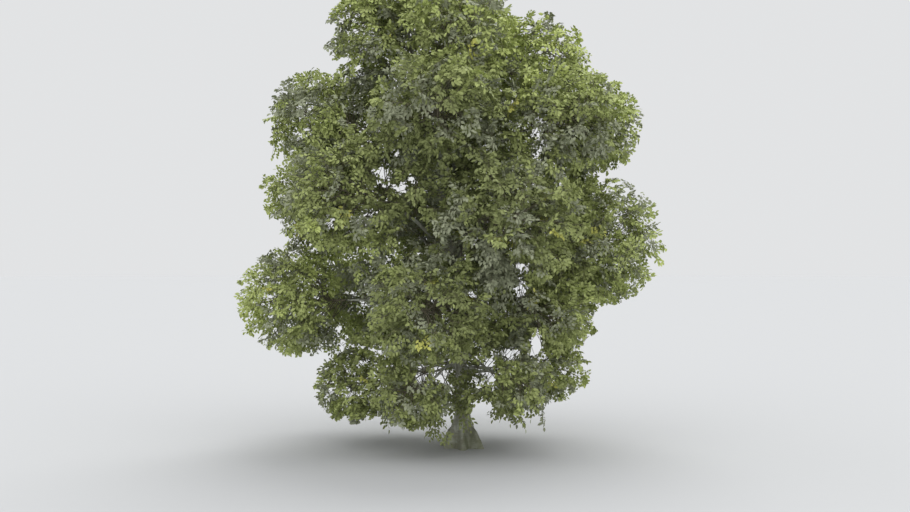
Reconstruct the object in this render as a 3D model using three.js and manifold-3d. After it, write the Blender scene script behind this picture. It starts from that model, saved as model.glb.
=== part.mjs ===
// American beech: a broad, open-grown tree in summer leaf, on a short bole with a wide root flare.
// Millimetres, +Z up. The origin is the middle of the trunk's flat cut at ground level.
// +X is to the right of the photographed side, and -Y is towards its viewer.

import * as THREE from "three";
import { mergeVertices } from "three/addons/utils/BufferGeometryUtils.js";
import Module from "manifold-3d";

const wasm = await Module();
wasm.setup();

// Driving dimensions

const SEED = 2026;
const JOINT_GAP = 0.3; // between a limb and the limb or stem that it springs from
const CLEARANCE = 20; // kept by leaves and twigs from limbs and from the next mass
const PLACES = 100; // along a limb, where its distance from other limbs is taken
const WELD_DISTANCE = 0.001; // within which two vertices of a shape are one
const GOLDEN_ANGLE = THREE.MathUtils.degToRad(137.5); // turn from one twig to the next round a stem

const TRUNK = {
  // The bole stands upright and leans to the left in the crown.
  path: new THREE.CubicBezierCurve3(
    new THREE.Vector3(0, 0, 0),
    new THREE.Vector3(0, 0, 5200),
    new THREE.Vector3(-600, 250, 9800),
    new THREE.Vector3(-2000, -150, 15100),
  ),
  baseRadius: 275,
  tipRadius: 48,
  taperCurve: 0.85, // below 1, it thins faster low down
  sides: 24,
  rings: 11,
  ringCrowding: 2.2, // rings lie closer together in the root flare
};

const ROOT_FLARE = {
  height: 1600, // where the bole begins to widen
  curve: 1.4, // above 1, it widens faster towards the ground
  ridgeReach: 680, // added to the bole's radius at the ground along a root ridge
  ridgeUnevenness: 0.25, // how much less the shortest ridge reaches
  ridgeSharpness: 1.5,
  hollowReach: 200, // added between two ridges
  ridges: 6,
};

const CO_LEADER = {
  forkHeight: 4300, // on the trunk
  lift: new THREE.Vector3(350, 280, 2600), // from the fork to the curve's middle control point
  tip: new THREE.Vector3(-500, 450, 14900),
  baseRadius: 185,
  tipRadius: 50,
  sides: 9,
  rings: 8,
};

const BOUGH = {
  massShare: 0.042, // base radius as a share of the radius of the mass that it carries
  stemShare: 0.66, // and at most this share of its stem's radius at the fork
  tipRadius: 40,
  arch: THREE.MathUtils.degToRad(16), // steeper than the straight way to its mass where it leaves the stem
  flattening: 0.5, // its slope where it ends, as a share of that way's
  hold: 0.36, // how far it keeps to its first and last direction, as a share of its length
  entry: 0.62, // where it ends, as a share of the mass's radius inward from the centre
  clearance: 80, // from the limbs that it does not spring from
  nudge: 60, // a bough that would come nearer is moved up its stem by this at a time
  sides: 5,
  rings: 4,
};

// Each tier has a lobe at the left and one at the right of the outline, and boughs spread evenly behind and
// in front of them, whose sizes lie between the two. height is that of a lobe's middle, half is half its
// height, and reach is how far it stands out from the trunk's foot. twist turns the boughs behind and in
// front, in degrees. fork is where the tier's lowest bough leaves its stem, and step is how far up the next
// one leaves.
const TIERS = [
  {
    name: "skirt",
    left: { height: 2300, half: 1450, reach: 5500 },
    right: { height: 2800, half: 1200, reach: 4600 },
    back: 2,
    front: 2,
    twist: 0,
    fork: 2550,
    step: 170,
  },
  {
    name: "lower",
    left: { height: 5300, half: 2100, reach: 8300 },
    right: { height: 4900, half: 1700, reach: 4950 },
    back: 2,
    front: 2,
    twist: 14,
    fork: 3550,
    step: 160,
  },
  {
    name: "middle",
    left: { height: 9150, half: 2150, reach: 7350 },
    right: { height: 7400, half: 2450, reach: 7500 },
    back: 2,
    front: 2,
    twist: -14,
    fork: 5500,
    step: 240,
  },
  {
    name: "upper",
    left: { height: 11800, half: 1950, reach: 7250 },
    right: { height: 11550, half: 2000, reach: 6600 },
    back: 2,
    front: 2,
    twist: 24,
    fork: 8200,
    step: 250,
  },
  {
    name: "shoulder",
    left: { height: 14900, half: 1800, reach: 5050 },
    right: { height: 14000, half: 1750, reach: 4650 },
    back: 1,
    front: 1,
    twist: -10,
    fork: 10300,
    step: 480,
  },
];

const CROWN_TOP = 18050;
const TOP_MASS_HALF = 1800; // of the two masses on the tips of the trunk and the co-leader
const FLATTENING = 1.2; // a mass's width over its height
const BEARING_SCATTER = THREE.MathUtils.degToRad(7); // of the boughs in front and behind

const STEM = { baseRadius: 46, tipRadius: 38, endShare: 0.3, sides: 3, rings: 1 };
const TWIG = {
  count: 5,
  roomShare: 0.3, // its length as a share of the room before its mass's space ends
  shortest: 114, // a shorter one is skipped
  baseRadius: 38,
  tipRadius: 34,
  forward: 0.3, // how far it points along the stem, to each part outward
  sides: 3,
  rings: 1,
};

// Each leaf solid stands for a flat spray of beech leaves, sized by the mass that it is part of.
const SPRAY = {
  longest: 1, // share of the mass's radius
  shortest: 0.45, // share of the mass's radius
  fill: 0.97, // share of the room before its mass's space ends
  width: 0.95, // share of the spray's length
  thickness: 0.018, // share of the spray's length
  widest: 0.7, // share of the length where it is widest
  rows: [0.95, 0.76, 0.57, 0.38], // shares of a twig's length where sprays stand
  splay: THREE.MathUtils.degToRad(45), // between a twig and its sprays
  splayScatter: 0.15, // share by which that angle varies
  endSplay: THREE.MathUtils.degToRad(10), // of the spray at the twig's end
  sunk: 10, // of a root behind the twig's middle line
  // A spray that leaves its mass's space or crosses another is tried turned, then smaller, then skipped.
  tries: [1, 0.85, 0.7].flatMap((size) => [0, 0.35, -0.35].map((turn) => ({ size, turn }))),
};

const BARK = new THREE.MeshStandardMaterial({ color: 0x7d7d72, roughness: 0.85, metalness: 0 });
const FOLIAGE = new THREE.MeshStandardMaterial({ color: 0x6f7a3f, roughness: 0.6, metalness: 0 });

// Helpers

// A seeded stream of numbers from 0 to 1.
function seededRandom(seed) {
  let state = seed >>> 0;
  return () => {
    state = (state + 0x6d2b79f5) >>> 0;
    let mixed = Math.imul(state ^ (state >>> 15), 1 | state);
    mixed = (mixed + Math.imul(mixed ^ (mixed >>> 7), 61 | mixed)) ^ mixed;
    return ((mixed ^ (mixed >>> 14)) >>> 0) / 2 ** 32;
  };
}

// Two directions square to the given one and to each other.
function crossAxes(way) {
  const guide = Math.abs(way.x) < 0.8 ? new THREE.Vector3(1, 0, 0) : new THREE.Vector3(0, 1, 0);
  const first = guide.addScaledVector(way, -guide.dot(way)).normalize();
  return { first, second: first.clone().cross(way) };
}

// A closed tapering limb: a cylinder whose vertices are carried along the path.
function limbGeometry(path, radiusAt, { sides, rings, ringCrowding = 1 }) {
  const shape = new THREE.CylinderGeometry(1, 1, 1, sides, rings);
  const places = shape.getAttribute("position");
  const vertex = new THREE.Vector3();
  for (let i = 0; i < places.count; i++) {
    vertex.fromBufferAttribute(places, i);
    const along = (vertex.y + 0.5) ** ringCrowding;
    const { first, second } = crossAxes(path.getTangentAt(along));
    const radius = radiusAt(along, Math.atan2(vertex.z, vertex.x));
    const centre = path.getPointAt(along);
    centre.addScaledVector(first, vertex.x * radius).addScaledVector(second, vertex.z * radius);
    places.setXYZ(i, centre.x, centre.y, centre.z);
  }
  return shape;
}

function evenTaper(baseRadius, tipRadius) {
  return (along) => THREE.MathUtils.lerp(baseRadius, tipRadius, along);
}

// The solid inside a closed geometry.
function solidOf(geometry) {
  const bare = geometry.clone();
  bare.deleteAttribute("normal");
  bare.deleteAttribute("uv");
  const merged = mergeVertices(bare, WELD_DISTANCE);
  return new wasm.Manifold(
    new wasm.Mesh({
      numProp: 3,
      vertProperties: new Float32Array(merged.getAttribute("position").array),
      triVerts: new Uint32Array(merged.index.array),
    }),
  );
}

// A solid back as a named mesh. Only its largest body is kept, so a sealed hollow is filled and a scrap
// is dropped.
function meshOf(name, solid, material) {
  const bodies = solid.decompose().sort((a, b) => b.volume() - a.volume());
  const { vertProperties, triVerts } = bodies[0].getMesh();
  const geometry = new THREE.BufferGeometry();
  geometry.setAttribute("position", new THREE.BufferAttribute(vertProperties, 3));
  geometry.setIndex(new THREE.BufferAttribute(triVerts, 1));
  geometry.computeVertexNormals();
  const mesh = new THREE.Mesh(geometry, material);
  mesh.name = name;
  return mesh;
}

// Where a rising path reaches a height, as a share of its length.
function shareAtHeight(path, height) {
  let low = 0;
  let high = 1;
  for (let i = 0; i < 30; i++) {
    const middle = (low + high) / 2;
    if (path.getPointAt(middle).z < height) low = middle;
    else high = middle;
  }
  return low;
}

// Trunk and co-leader: the two stems that carry the boughs

function trunkRadius(along, angle) {
  const taper = THREE.MathUtils.lerp(TRUNK.baseRadius, TRUNK.tipRadius, along ** TRUNK.taperCurve);
  const height = TRUNK.path.getPointAt(along).z;
  const flare = (1 - THREE.MathUtils.clamp(height / ROOT_FLARE.height, 0, 1)) ** ROOT_FLARE.curve;
  const ridge = ((1 - Math.cos(ROOT_FLARE.ridges * angle)) / 2) ** ROOT_FLARE.ridgeSharpness;
  const uneven = 1 - (ROOT_FLARE.ridgeUnevenness * (1 - Math.sin(2 * angle))) / 2;
  const { hollowReach, ridgeReach } = ROOT_FLARE;
  return taper + flare * THREE.MathUtils.lerp(hollowReach, ridgeReach * uneven, ridge);
}

function coLeaderPath() {
  const fork = TRUNK.path.getPointAt(shareAtHeight(TRUNK.path, CO_LEADER.forkHeight));
  const lifted = fork.clone().add(CO_LEADER.lift);
  const belowTip = CO_LEADER.tip.clone().setZ((lifted.z + CO_LEADER.tip.z) / 2);
  return new THREE.CubicBezierCurve3(fork, lifted, belowTip, CO_LEADER.tip);
}

// A limb as its path, a row of places with its radius there, its solid, and that solid grown by an even
// margin.
function makeLimb(name, path, radiusAt, form) {
  const grown = (margin) =>
    solidOf(limbGeometry(path, (along, angle) => radiusAt(along, angle) + margin, form));
  return { name, path, radiusAt, places: placesAlong(path, radiusAt), grown, solid: grown(0) };
}

function placesAlong(path, radiusAt) {
  return Array.from({ length: PLACES + 1 }, (_, i) => ({
    spot: path.getPointAt(i / PLACES),
    radius: radiusAt(i / PLACES, 0),
  }));
}

function apart(places, others, clearance) {
  return places.every((one) =>
    others.every((other) => one.spot.distanceTo(other.spot) > one.radius + other.radius + clearance),
  );
}

const trunk = makeLimb("trunk", TRUNK.path, trunkRadius, TRUNK);
const coLeader = makeLimb(
  "co_leader",
  coLeaderPath(),
  evenTaper(CO_LEADER.baseRadius, CO_LEADER.tipRadius),
  CO_LEADER,
);
coLeader.solid = coLeader.solid.subtract(trunk.grown(JOINT_GAP));

// Masses of foliage: where each one's space lies

function makeMass(name, centre, half, carrier) {
  return { name, centre, radius: half * FLATTENING, carrier };
}

// The bearings of a tier's boughs, with right at 0 and left at half a turn.
function tierBearings(tier, random) {
  const scatter = () => THREE.MathUtils.degToRad(tier.twist) + (2 * random() - 1) * BEARING_SCATTER;
  const spread = (count) =>
    Array.from({ length: count }, (_, k) => (Math.PI * (k + 1)) / (count + 1) + scatter());
  return [
    { place: "right", bearing: 0 },
    ...spread(tier.back).map((turn, k) => ({ place: `back_${k + 1}`, bearing: turn })),
    { place: "left", bearing: Math.PI },
    ...spread(tier.front).map((turn, k) => ({ place: `front_${k + 1}`, bearing: Math.PI + turn })),
  ];
}

function tierMasses(tier, random) {
  return tierBearings(tier, random).map(({ place, bearing }, k) => {
    const rightness = (1 + Math.cos(bearing)) / 2;
    const between = (size) => THREE.MathUtils.lerp(tier.left[size], tier.right[size], rightness);
    const half = between("half");
    const outward = between("reach") - half * FLATTENING;
    const centre = new THREE.Vector3(
      outward * Math.cos(bearing),
      outward * Math.sin(bearing),
      between("height"),
    );
    return {
      ...makeMass(`${tier.name}_${place}`, centre, half),
      fork: tier.fork + k * tier.step,
    };
  });
}

// A mass that stands on the tip of a stem, and reaches the top of the crown.
function topMass(name, stem) {
  const centre = stem.path.getPointAt(1);
  const way = stem.path.getTangentAt(1);
  centre.addScaledVector(way, (CROWN_TOP - TOP_MASS_HALF - centre.z) / way.z);
  return makeMass(name, centre, TOP_MASS_HALF, stem);
}

const scatterRandom = seededRandom(SEED);
const boughMasses = TIERS.flatMap((tier) => tierMasses(tier, scatterRandom));
const masses = [...boughMasses, topMass("top_left", trunk), topMass("top_right", coLeader)];

// Masses are spheres where heights are stretched by the flattening. A place is in a mass's space where it is
// inside that sphere, and nearer to it than to any other by the distance along a tangent.
function stretched(place) {
  return new THREE.Vector3(place.x, place.y, place.z * FLATTENING);
}

function power(place, mass) {
  return stretched(place).distanceToSquared(stretched(mass.centre)) - mass.radius ** 2;
}

function inSpace(place, mass) {
  const own = power(place, mass);
  return (
    own < 0 &&
    masses.every((other) => {
      const apart = stretched(other.centre).distanceTo(stretched(mass.centre));
      return other === mass || power(place, other) - own > 2 * apart * CLEARANCE;
    })
  );
}

// How far a straight line runs before it leaves a mass's space.
function roomAlong(from, way, mass) {
  let low = 0;
  let high = 2 * mass.radius;
  for (let i = 0; i < 12; i++) {
    const middle = (low + high) / 2;
    if (inSpace(from.clone().addScaledVector(way, middle), mass)) low = middle;
    else high = middle;
  }
  return low;
}

// Boughs: one to each mass of the tiers, from whichever stem passes nearer

function nearerStem(mass) {
  const distance = (stem) =>
    stem.path.getPointAt(shareAtHeight(stem.path, mass.centre.z)).distanceTo(mass.centre);
  const belowFork = mass.fork < CO_LEADER.forkHeight + CO_LEADER.lift.z / 3;
  return belowFork || distance(trunk) < distance(coLeader) ? trunk : coLeader;
}

function boughPath(mass, stem, fork) {
  const from = stem.path.getPointAt(shareAtHeight(stem.path, fork));
  const span = mass.centre.clone().sub(from);
  const heading = span.clone().setZ(0).normalize();
  const slope = Math.atan2(span.z, span.dot(heading));
  const towards = (angle) => heading.clone().multiplyScalar(Math.cos(angle)).setZ(Math.sin(angle));
  const lastWay = towards(slope * BOUGH.flattening);
  const tip = mass.centre.clone().addScaledVector(lastWay, -mass.radius * BOUGH.entry);
  const hold = from.distanceTo(tip) * BOUGH.hold;
  return new THREE.CubicBezierCurve3(
    from,
    from.clone().addScaledVector(towards(slope + BOUGH.arch), hold),
    tip.clone().addScaledVector(lastWay, -hold),
    tip,
  );
}

const limbs = [trunk, coLeader];

for (const mass of boughMasses) {
  const stem = nearerStem(mass);
  const stemRadius = stem.radiusAt(shareAtHeight(stem.path, mass.fork), 0);
  const baseRadius = Math.min(mass.radius * BOUGH.massShare, stemRadius * BOUGH.stemShare);
  const taper = evenTaper(baseRadius, BOUGH.tipRadius);
  const others = limbs.filter((limb) => limb !== stem);
  const outside = (place) => apart([place], stem.places, -place.radius);
  const isClear = (path) => {
    const places = placesAlong(path, taper).filter(outside);
    return others.every((other) => apart(places, other.places, BOUGH.clearance));
  };
  let fork = mass.fork;
  while (!isClear(boughPath(mass, stem, fork))) fork += BOUGH.nudge;
  const bough = makeLimb(`bough_${mass.name}`, boughPath(mass, stem, fork), taper, BOUGH);
  bough.places = bough.places.filter(outside);
  bough.solid = bough.solid.subtract(stem.grown(JOINT_GAP));
  mass.carrier = bough;
  limbs.push(bough);
}

const limbGuard = wasm.Manifold.union(limbs.map((limb) => limb.grown(CLEARANCE)));

// Foliage: a stem on from the carrier's tip, twigs round it by the golden angle, and sprays at their ends

function cornersOf(solid) {
  const { vertProperties } = solid.getMesh();
  return Array.from({ length: vertProperties.length / 3 }, (_, i) =>
    new THREE.Vector3().fromArray(vertProperties, 3 * i),
  );
}

function fits(solid, mass) {
  return cornersOf(solid).every((corner) => inSpace(corner, mass)) && solid.intersect(limbGuard).isEmpty();
}

// A folded blade of four faces: root and tip below, two side points above.
function spraySolid(root, way, facing, length) {
  const across = facing.clone().cross(way).normalize();
  const normal = way.clone().cross(across);
  const shape = new THREE.TetrahedronGeometry(1);
  const places = shape.getAttribute("position");
  for (let i = 0; i < places.count; i++) {
    const [x, y, z] = [places.getX(i), places.getY(i), places.getZ(i)].map(Math.sign);
    const along = z > 0 ? SPRAY.widest : (x + 1) / 2;
    const place = root.clone().addScaledVector(way, along * length);
    if (z > 0) place.addScaledVector(across, (y * SPRAY.width * length) / 2);
    place.addScaledVector(normal, (z * SPRAY.thickness * length) / 2);
    places.setXYZ(i, place.x, place.y, place.z);
  }
  return solidOf(shape);
}

// The sprays along a twig, from its end inward, each on the next of the twig's three faces.
function twigSprays(path, mass, placed, random) {
  const way = path.getTangentAt(1);
  const { first, second } = crossAxes(way);
  const firstFace = Math.floor(3 * random());
  SPRAY.rows.forEach((share, k) => {
    const lean = k === 0 ? SPRAY.endSplay : SPRAY.splay * (1 + SPRAY.splayScatter * (2 * random() - 1));
    for (const { size, turn } of SPRAY.tries) {
      const roll = (2 * Math.PI * (firstFace + k)) / 3 - Math.PI / 2 + turn;
      const outward = first.clone().multiplyScalar(Math.cos(roll)).addScaledVector(second, Math.sin(roll));
      const sprayWay = way.clone().multiplyScalar(Math.cos(lean)).addScaledVector(outward, Math.sin(lean));
      const root = path.getPointAt(share).addScaledVector(sprayWay, -SPRAY.sunk);
      const room = Math.min(SPRAY.fill * roomAlong(root, sprayWay, mass), mass.radius * SPRAY.longest);
      if (room * size < mass.radius * SPRAY.shortest) continue;
      const spray = spraySolid(root, sprayWay, way, room * size);
      if (!fits(spray, mass) || placed.some((other) => !other.intersect(spray).isEmpty())) continue;
      placed.push(spray);
      break;
    }
  });
}

function growMass(mass, seed) {
  const random = seededRandom(seed);
  const stemWay = mass.carrier.path.getTangentAt(1);
  const start = mass.carrier.path.getPointAt(1).addScaledVector(stemWay, JOINT_GAP);
  const stemLength = start.distanceTo(mass.centre) + mass.radius * STEM.endShare;
  const stemPath = new THREE.LineCurve3(start, start.clone().addScaledVector(stemWay, stemLength));
  const wood = [solidOf(limbGeometry(stemPath, evenTaper(STEM.baseRadius, STEM.tipRadius), STEM))];
  const sprays = [];
  twigSprays(stemPath, mass, sprays, random);
  const firstRoll = random() * 2 * Math.PI;
  for (let k = 0; k < TWIG.count; k++) {
    const from = stemPath.getPointAt((k + 1) / (TWIG.count + 1));
    const { first, second } = crossAxes(stemWay);
    const roll = firstRoll + k * GOLDEN_ANGLE;
    const way = first.multiplyScalar(Math.cos(roll)).addScaledVector(second, Math.sin(roll));
    way.addScaledVector(stemWay, TWIG.forward).normalize();
    const length = roomAlong(from, way, mass) * TWIG.roomShare;
    if (length < TWIG.shortest) continue;
    const twigPath = new THREE.LineCurve3(from, from.clone().addScaledVector(way, length));
    const twig = solidOf(limbGeometry(twigPath, evenTaper(TWIG.baseRadius, TWIG.tipRadius), TWIG));
    if (!fits(twig, mass)) continue;
    wood.push(twig);
    twigSprays(twigPath, mass, sprays, random);
  }
  return wasm.Manifold.union([...wood, ...sprays]);
}

// The tree

const tree = new THREE.Group();
tree.name = "american_beech";
for (const limb of limbs) tree.add(meshOf(limb.name, limb.solid, BARK));
masses.forEach((mass, k) => {
  tree.add(meshOf(`foliage_${mass.name}`, growMass(mass, SEED + k + 1), FOLIAGE));
});

export default tree;
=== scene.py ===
# %% [markdown]
# # American beech in summer leaf
#
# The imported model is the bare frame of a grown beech: a trunk, a second stem, boughs, and masses that
# stand for the leaves. This lesson keeps the frame's measures and dresses it. The limbs get meshes
# with the bark's relief, and each mass is grown again, finer, as twigs and leaves. Everything is in
# metres, with +Z up, +X to the right of the photographed side and -Y towards its viewer.

# %% Load the frame
import math
from collections import namedtuple

import bpy
import numpy as np
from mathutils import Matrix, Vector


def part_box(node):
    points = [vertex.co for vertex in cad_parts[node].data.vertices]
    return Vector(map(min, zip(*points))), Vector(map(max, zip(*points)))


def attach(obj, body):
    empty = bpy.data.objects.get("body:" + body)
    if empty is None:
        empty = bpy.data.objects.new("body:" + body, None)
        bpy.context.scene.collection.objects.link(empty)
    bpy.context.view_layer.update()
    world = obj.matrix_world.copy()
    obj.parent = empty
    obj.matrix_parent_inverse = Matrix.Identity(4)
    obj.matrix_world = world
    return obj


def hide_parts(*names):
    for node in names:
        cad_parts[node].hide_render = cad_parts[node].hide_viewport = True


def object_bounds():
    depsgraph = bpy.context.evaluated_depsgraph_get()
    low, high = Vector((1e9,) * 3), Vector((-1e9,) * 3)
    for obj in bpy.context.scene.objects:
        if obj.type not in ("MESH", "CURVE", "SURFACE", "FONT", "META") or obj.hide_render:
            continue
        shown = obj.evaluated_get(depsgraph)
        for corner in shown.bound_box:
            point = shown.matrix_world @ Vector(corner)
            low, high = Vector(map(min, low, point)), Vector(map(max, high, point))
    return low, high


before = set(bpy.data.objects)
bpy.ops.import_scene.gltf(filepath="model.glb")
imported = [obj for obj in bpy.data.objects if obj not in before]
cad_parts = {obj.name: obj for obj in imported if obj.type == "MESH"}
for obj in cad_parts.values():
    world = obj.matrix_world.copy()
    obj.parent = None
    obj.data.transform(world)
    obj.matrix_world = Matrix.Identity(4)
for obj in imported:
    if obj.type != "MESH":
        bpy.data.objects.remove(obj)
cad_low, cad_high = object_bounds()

bpy.ops.object.select_all(action="DESELECT")
box_sides = [round(side, 2) for side in cad_high - cad_low]
print("frame:", len(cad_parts), "nodes in a box of", box_sides, "m")

# %% [markdown]
# ## Chance that repeats
#
# A tree is hard to draw by hand, because thousands of twigs have to look alike and yet differ. The
# frame was grown by a rule with named sizes, so the same rule is written again here. It needs numbers
# by chance that come out the same on every run. A small mixing function gives them from a seed, and
# the same seed gives the same tree.

# %% A seeded stream of numbers
SEED = 2026
WORD = 0xFFFFFFFF  # the largest number of 32 bits
STRIDE = 0x6D2B79F5  # added to the state at each draw


def seeded_random(seed):
    """A stream of numbers from 0 to 1: a running count whose bits are mixed twice."""
    state = seed

    def draw():
        nonlocal state
        state = (state + STRIDE) & WORD
        mixed = ((state ^ (state >> 15)) * (1 | state)) & WORD
        mixed = ((mixed + (mixed ^ (mixed >> 7)) * (61 | mixed)) & WORD) ^ mixed
        return (mixed ^ (mixed >> 14)) / 2**32

    return draw


print("first draw:", round(seeded_random(SEED)(), 4))

# %% [markdown]
# ## The two stems
#
# A limb is a middle line with a thickness. The line is a smooth curve with four control points, like
# the handles of a curve in Blender, and it is read by shares of its length, so that rings can be
# spaced evenly along it. The trunk leans to the left in the crown, and a second stem leaves it at
# about four metres.

# %% Limbs as curves with a radius
CURVE_STEPS = 200  # along a curve, to measure its length
PLACES = 100  # along a limb, where its distance from other limbs is taken


def unit(vectors):
    return vectors / np.linalg.norm(vectors, axis=-1, keepdims=True)


class Path:
    """A curve from four control points, read by shares of its length."""

    def __init__(self, *controls):
        self.controls = np.array(controls, float)
        t = np.linspace(0, 1, CURVE_STEPS + 1)[:, None]
        weights = np.hstack([(1 - t) ** 3, 3 * (1 - t) ** 2 * t, 3 * (1 - t) * t**2, t**3])
        self.spots = weights @ self.controls
        steps = np.linalg.norm(np.diff(self.spots, axis=0), axis=1)
        self.length = steps.sum()
        self.shares = np.append(0, np.cumsum(steps)) / self.length
        self.last_way = unit(self.controls[3] - self.controls[2])

    def at(self, share):
        return np.stack([np.interp(share, self.shares, self.spots[:, k]) for k in range(3)], axis=-1)

    def share_at_height(self, height):
        return np.interp(height, self.spots[:, 2], self.shares)


class Limb:
    """A limb's path and its radius, with a row of places along it."""

    def __init__(self, name, path, radius_at):
        self.name = name
        self.path = path
        self.radius_at = radius_at
        shares = np.linspace(0, 1, PLACES + 1)
        self.spots = path.at(shares)
        self.radii = radius_at(shares)


def even_taper(base, tip):
    return lambda share: base + (tip - base) * share


print("half way along, an even taper from 2 to 1 is", even_taper(2, 1)(0.5))

# %% Trunk and second stem
TRUNK_PATH = Path((0, 0, 0), (0, 0, 5.2), (-0.6, 0.25, 9.8), (-2.0, -0.15, 15.1))
TRUNK_BASE, TRUNK_TIP = 0.275, 0.048  # radii
TRUNK_TAPER = 0.85  # below 1, the trunk thins faster near the ground
FLARE_HEIGHT = 1.6  # where the bole begins to widen towards the roots
FLARE_CURVE = 1.4  # above 1, it widens faster towards the ground
HOLLOW_REACH = 0.2  # added to the bole's radius at the ground between two root ridges

FORK_HEIGHT = 4.3
FORK_LIFT = np.array([0.35, 0.28, 2.6])  # from the fork to the second stem's next control point
SECOND_TIP = np.array([-0.5, 0.45, 14.9])
SECOND_BASE, SECOND_END = 0.185, 0.05  # radii


def root_flare(height):
    """1 at the ground, falling to 0 where the bole begins to widen."""
    return (1 - np.clip(height / FLARE_HEIGHT, 0, 1)) ** FLARE_CURVE


def trunk_radius(share):
    """The radius in the hollow between two root ridges."""
    bole = TRUNK_BASE + (TRUNK_TIP - TRUNK_BASE) * np.maximum(share, 0) ** TRUNK_TAPER
    return bole + HOLLOW_REACH * root_flare(TRUNK_PATH.at(share)[..., 2])


fork_spot = TRUNK_PATH.at(TRUNK_PATH.share_at_height(FORK_HEIGHT))
lifted = fork_spot + FORK_LIFT
below_tip = np.array([*SECOND_TIP[:2], (lifted[2] + SECOND_TIP[2]) / 2])
second_path = Path(fork_spot, lifted, below_tip, SECOND_TIP)
trunk = Limb("trunk", TRUNK_PATH, trunk_radius)
second_stem = Limb("co_leader", second_path, even_taper(SECOND_BASE, SECOND_END))
print("stems:", round(trunk.path.length, 2), "m and", round(second_stem.path.length, 2), "m long")

# %% [markdown]
# ## The masses of the crown
#
# Five tiers of boughs ring the stems. In each tier one lobe stands out to the left and one to the
# right, and those behind and in front lie between the two in size. Each mass of foliage has a space of
# its own: a ball that is flattened by a fifth, cut off where the next mass is nearer. Heights are
# stretched for that test, so that a flattened ball becomes a plain one.

# %% Where each mass lies
# A lobe, left or right, is the height of its middle, half its height, and its reach from the trunk's
# foot. Sides is how many boughs stand behind, and as many in front, and twist turns them, in degrees.
# Then follow the height of the lowest fork and the step to the next.
Tier = namedtuple("Tier", "left right sides twist fork step")
TIERS = {
    "skirt": Tier((2.3, 1.45, 5.5), (2.8, 1.2, 4.6), 2, 0, 2.55, 0.17),
    "lower": Tier((5.3, 2.1, 8.3), (4.9, 1.7, 4.95), 2, 14, 3.55, 0.16),
    "middle": Tier((9.15, 2.15, 7.35), (7.4, 2.45, 7.5), 2, -14, 5.5, 0.24),
    "upper": Tier((11.8, 1.95, 7.25), (11.55, 2.0, 6.6), 2, 24, 8.2, 0.25),
    "shoulder": Tier((14.9, 1.8, 5.05), (14.0, 1.75, 4.65), 1, -10, 10.3, 0.48),
}
CROWN_TOP = 18.05
TOP_HALF = 1.8  # half the height of the two masses on the tips of the stems
FLATTENING = 1.2  # a mass's width over its height
SCATTER = math.radians(7)


def tier_bearings(tier, draw):
    """The places of a tier's boughs, with right at 0 and left at half a turn."""

    def spread():
        turns = [math.pi * (k + 1) / (tier.sides + 1) for k in range(tier.sides)]
        return [turn + math.radians(tier.twist) + (2 * draw() - 1) * SCATTER for turn in turns]

    back = [(f"back_{k + 1}", turn) for k, turn in enumerate(spread())]
    front = [(f"front_{k + 1}", math.pi + turn) for k, turn in enumerate(spread())]
    return [("right", 0), *back, ("left", math.pi), *front]


masses = []
scatter = seeded_random(SEED)
for tier_name, tier in TIERS.items():
    for k, (place, bearing) in enumerate(tier_bearings(tier, scatter)):
        rightness = (1 + math.cos(bearing)) / 2
        height, half, reach = np.array(tier.left) * (1 - rightness) + np.array(tier.right) * rightness
        outward = reach - half * FLATTENING
        centre = np.array([outward * math.cos(bearing), outward * math.sin(bearing), height])
        mass = dict(tier=tier_name, name=f"{tier_name}_{place}", centre=centre)
        mass.update(radius=half * FLATTENING, fork=tier.fork + k * tier.step)
        masses.append(mass)
for name, stem in (("top_left", trunk), ("top_right", second_stem)):
    tip, way = stem.path.at(1.0), stem.path.last_way
    centre = tip + way * (CROWN_TOP - TOP_HALF - tip[2]) / way[2]
    mass = dict(tier="top", name=name, centre=centre, radius=TOP_HALF * FLATTENING, carrier=stem)
    masses.append(mass)
print("masses:", len(masses), "- the last is", masses[-1]["name"])

# %% The space of each mass
STRETCH = np.array([1, 1, FLATTENING])
CLEARANCE = 0.02  # between two masses
CORE_MIDDLE = np.array([-0.5, 0, 9.0])
CORE_HALF = np.array([5.0, 5.2, 7.2])
HALVINGS = 13  # in the search for the edge of a space

mass_centres = np.array([mass["centre"] for mass in masses]) * STRETCH
mass_radii = np.array([mass["radius"] for mass in masses])
mass_gaps = np.linalg.norm(mass_centres[:, None] - mass_centres, axis=-1)


def powers(places):
    """The square of the tangent from each place to the ball of each mass, below 0 inside it."""
    return ((places[:, None] * STRETCH - mass_centres) ** 2).sum(-1) - mass_radii**2


def in_space(places, k):
    """Which places lie in the space of mass k."""
    reach = powers(places)
    own = reach[:, k : k + 1]
    nearer = reach - own > 2 * mass_gaps[k] * CLEARANCE
    nearer[:, k] = own[:, 0] < 0
    return nearer.all(axis=1)


def in_core(places):
    """Which places lie in the core of the crown, where leaves fill the gaps between masses."""
    return (((places - CORE_MIDDLE) / CORE_HALF) ** 2).sum(axis=1) < 1


def in_crown(places):
    """Which places lie in the core or in the ball of any mass."""
    return in_core(places) | (powers(places).min(axis=1) < 0)


def room_along(starts, ways, is_inside):
    """How far straight lines run before they leave a space."""
    low, high = np.zeros(len(starts)), np.full(len(starts), 2 * mass_radii.max())
    for _ in range(HALVINGS):
        middle = (low + high) / 2
        inside = is_inside(starts + ways * middle[:, None])
        low, high = np.where(inside, middle, low), np.where(inside, high, middle)
    return low


print("their radii:", round(mass_radii.min(), 2), "to", round(mass_radii.max(), 2), "m")

# %% [markdown]
# ## The boughs
#
# One bough goes to each mass of the tiers, from whichever stem passes nearer. It leaves the stem
# steeper than the straight way, arches over, and points at the middle of its mass where it enters it.
# A bough that would touch another limb is moved up its stem, a little at a time. The tips are compared
# with the frame's boughs, to be sure that this tree is the same one.

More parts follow.
